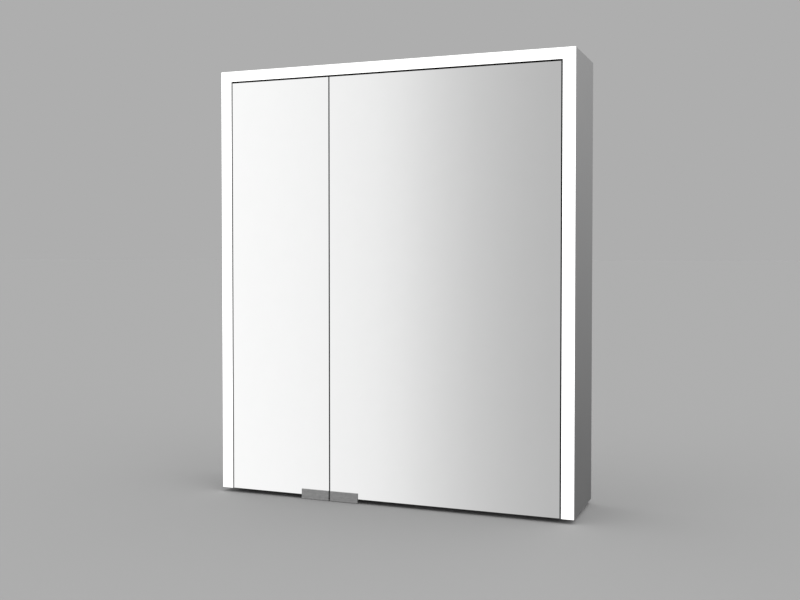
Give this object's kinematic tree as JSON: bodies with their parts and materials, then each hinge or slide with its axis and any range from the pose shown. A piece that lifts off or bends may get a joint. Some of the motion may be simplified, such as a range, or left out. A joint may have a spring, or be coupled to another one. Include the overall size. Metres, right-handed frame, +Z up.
{
  "type": "mirror cabinet",
  "caption": "Wall-hung bathroom mirror cabinet with two unequal mirror doors, a lit white band round its front, glass shelves, and a socket and light switch inside.",
  "frame": {"origin": "middle point between the two wall screws, on the wall plane behind the cabinet", "axes": "+Y into the wall, +Z up, +X to the viewer's right when facing the mirrors"},
  "size_m": [0.6, 0.1425, 0.7085],
  "materials": {
    "anodised": "satin anodised, fine vertical grain",
    "opal": "opal acrylic, satin",
    "led": "white circuit board with light chips",
    "white_panel": "white lacquered sheet",
    "board": "light board with aluminium coloured facing",
    "mirror": "silvered glass with polished edges",
    "clear_glass": "clear, polished edges",
    "brushed": "horizontal brushing",
    "zinc": "nickel plated",
    "steel": "zinc plated sheet",
    "white_plastic": "fine satin",
    "switch": "smooth",
    "grey_plastic": "fine satin",
    "rubber": "matt",
    "silicone": "clear soft dots"
  },
  "bodies": {
    "cabinet": {"left_side_panel": "anodised", "right_side_panel": "anodised", "top_panel": "anodised", "side_end_caps": "anodised", "corner_cleats": "steel", "bottom_panel": "white_panel", "bottom_panel_screws": "zinc", "back_panel": "white_panel", "back_panel_screws": "zinc", "service_cover": "white_panel", "door_buffers": "silicone", "light_diffuser_left": "opal", "light_diffuser_right": "opal", "light_diffuser_top": "opal", "led_strip_left": "led", "led_strip_right": "led", "led_strip_top": "led", "led_driver": "white_plastic", "led_lead": "rubber", "mains_lead": "rubber", "terminal_box": "grey_plastic", "terminal_block": "white_plastic", "cable_grommet": "rubber", "wall_rail": "steel", "hanger_left": "steel", "hanger_right": "steel", "hanger_screws": "zinc", "glass_shelf_lower": "clear_glass", "glass_shelf_middle": "clear_glass", "glass_shelf_upper": "clear_glass", "shelf_supports": "zinc", "socket_box": "white_plastic", "socket_insert": "white_plastic", "hinge_plate_screws": "zinc", "hinge_arm_screws": "zinc", "left_hinge_plate_lower": "zinc", "left_hinge_arm_lower": "zinc", "left_hinge_plate_upper": "zinc", "left_hinge_arm_upper": "zinc", "right_hinge_plate_lower": "zinc", "right_hinge_arm_lower": "zinc", "right_hinge_plate_upper": "zinc", "right_hinge_arm_upper": "zinc"},
    "left_door": {"left_front_mirror": "mirror", "left_door_panel": "board", "left_back_mirror": "mirror", "left_handle": "brushed", "left_handle_screws": "zinc", "left_hinge_cup_lower": "zinc", "left_hinge_cup_upper": "zinc", "left_hinge_pins": "zinc"},
    "right_door": {"right_front_mirror": "mirror", "right_door_panel": "board", "right_back_mirror": "mirror", "right_handle": "brushed", "right_handle_screws": "zinc", "right_hinge_cup_lower": "zinc", "right_hinge_cup_upper": "zinc", "right_hinge_pins": "zinc"},
    "light_switch": {"switch_rocker": "switch"}
  },
  "joints": [
    {"name": "left_door_hinge", "type": "hinge", "parent": "cabinet", "child": "left_door", "pos_m": [-0.263, -0.134, 0], "axis": [0, 0, -1], "range_deg": [0, 105]},
    {"name": "right_door_hinge", "type": "hinge", "parent": "cabinet", "child": "right_door", "pos_m": [0.263, -0.134, 0], "axis": [0, 0, 1], "range_deg": [0, 105]},
    {"name": "light_switch_rock", "type": "hinge", "parent": "cabinet", "child": "light_switch", "pos_m": [0.235, -0.05, -0.601], "axis": [-1, 0, 0], "range_deg": [0, 10]}
  ]
}
